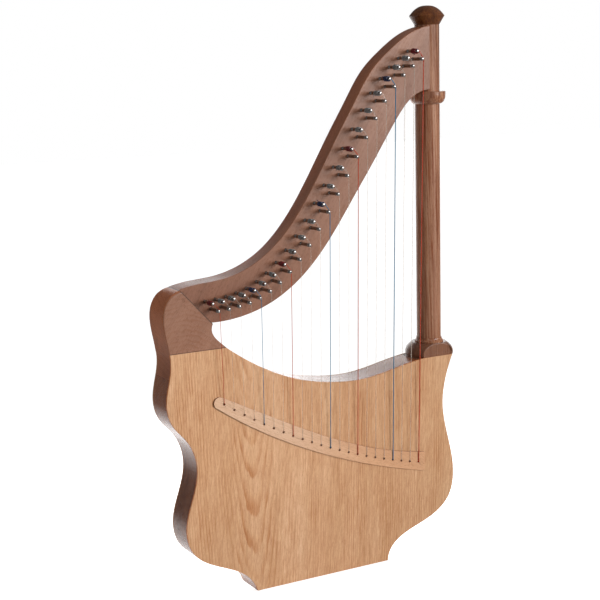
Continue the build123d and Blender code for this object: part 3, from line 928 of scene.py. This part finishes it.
def floor_pool(centre, reach, strength):
    """Light that a pool on the floor gives off, fading out from its centre."""
    away = add_node(floor_tree, "ShaderNodeVectorMath", {0: floor_place, 1: centre})
    away.operation = "DISTANCE"
    share = maths(floor_tree, "DIVIDE", away.outputs["Value"], reach, clamp=True)
    fading = ramp(floor_tree, share, [(0.3, 1.0), (1.0, 0.0)])
    return maths(floor_tree, "MULTIPLY", fading, strength)


# The white floor is lit from below, most of all from right behind the harp's front.
body_half_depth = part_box("back_panel")[1][1]
behind = add_node(floor_tree, "ShaderNodeSeparateXYZ", {"Vector": floor_place}).outputs["Y"]
behind = maths(floor_tree, "ADD", behind, body_half_depth)
behind = ramp(floor_tree, behind, [(0.0, 0.0), (0.012, 1.0)])
pools = maths(
    floor_tree,
    "ADD",
    maths(floor_tree, "MULTIPLY", floor_pool((0.10, 0.35, 0.0), 0.8, 1.8), behind),
    floor_pool((0.10, -0.90, 0.0), 1.6, 0.15),
)
floor_seen = add_node(floor_tree, "ShaderNodeLightPath").outputs["Is Camera Ray"]
FLOOR_GLOW = 0.85
plain = maths(floor_tree, "MULTIPLY", floor_seen, FLOOR_GLOW)
floor_light = maths(floor_tree, "MAXIMUM", pools, plain)
floor_shader.inputs["Emission Color"].default_value = (1, 1, 1, 1)
floor_tree.links.new(floor_light, floor_shader.inputs["Emission Strength"])
floor_mesh.materials.append(floor_paint)

# ------------------------------------------------------------------ light
world = bpy.data.worlds.new("studio")
scene.world = world
world.use_nodes = True
sky = world.node_tree
sky.nodes.clear()
way = add_node(sky, "ShaderNodeTexCoord").outputs["Generated"]


def toward(direction):
    """How closely a ray points in a direction: 1 for straight at it, -1 for away."""
    node = add_node(sky, "ShaderNodeVectorMath", {0: way, 1: direction})
    node.operation = "DOT_PRODUCT"
    return node.outputs["Value"]


FRONT_WAY = (0.42, -0.89, 0.18)    # the open side of the studio, with the key light
front = maths(sky, "ADD", maths(sky, "MULTIPLY", toward(FRONT_WAY), 0.5), 0.5)
room = ramp(sky, front, [(0.20, 0.17), (0.80, 0.42)])
lit = add_node(sky, "ShaderNodeBackground", {"Color": room, "Strength": 1.0})
white = add_node(sky, "ShaderNodeBackground", {"Color": (1, 1, 1, 1), "Strength": 1.0})
seen = add_node(sky, "ShaderNodeLightPath").outputs["Is Camera Ray"]
both = add_node(sky, "ShaderNodeMixShader", {0: seen, 1: lit.outputs[0], 2: white.outputs[0]})
add_node(sky, "ShaderNodeOutputWorld", {"Surface": both.outputs[0]})


def aim(item, target):
    """Turns a light or camera so that it looks at a point."""
    item.rotation_mode = "QUATERNION"
    item.rotation_quaternion = (Vector(target) - item.location).to_track_quat("-Z", "Y")


HARP_MIDDLE = (0.0, 0.0, 0.40)
KEY_STRENGTH = 2.3
KEY_SPREAD = radians(32)
KEY_PLACE = (1.5, -2.3, 0.95)
sun_light = bpy.data.lights.new("key", "SUN")
sun_light.energy = KEY_STRENGTH
sun_light.angle = KEY_SPREAD
sun = bpy.data.objects.new("key", sun_light)
sun.location = KEY_PLACE
aim(sun, HARP_MIDDLE)
scene.collection.objects.link(sun)

# A lit white card stands low behind the harp, on its bass side; the polished edges and
# the wall of the cut-out mirror it.
CARD_WIDTH = 1.4
CARD_HEIGHT = 0.86
CARD_RADIANCE = 2.1
CARD_PLACE = (0.65, 0.95, 0.44)
card_light = bpy.data.lights.new("card", "AREA")
card_light.shape = "RECTANGLE"
card_light.size = CARD_WIDTH
card_light.size_y = CARD_HEIGHT
card_light.energy = CARD_RADIANCE * pi * CARD_WIDTH * CARD_HEIGHT
card = bpy.data.objects.new("card", card_light)
card.location = CARD_PLACE
card.rotation_euler = (radians(90), 0, radians(180))
card.visible_camera = False
scene.collection.objects.link(card)

# ------------------------------------------------------------------ camera
# The place, direction, roll and lens were fitted to the photograph.
CAMERA_PLACE = (-0.93425, -1.65024, 0.74123)
CAMERA_TARGET = (-0.01666, 0.0, 0.40198)
CAMERA_ROLL = radians(-1.343)
CAMERA_LENS = 82.15
camera_data = bpy.data.cameras.new("camera")
camera_data.sensor_width = 36.0
camera_data.lens = CAMERA_LENS
camera_data.clip_start = 0.05
camera_data.clip_end = 60.0
camera = bpy.data.objects.new("camera", camera_data)
camera.location = CAMERA_PLACE
aim(camera, CAMERA_TARGET)
camera.rotation_quaternion = (
    camera.rotation_quaternion @ Matrix.Rotation(CAMERA_ROLL, 3, "Z").to_quaternion()
)
scene.collection.objects.link(camera)
scene.camera = camera
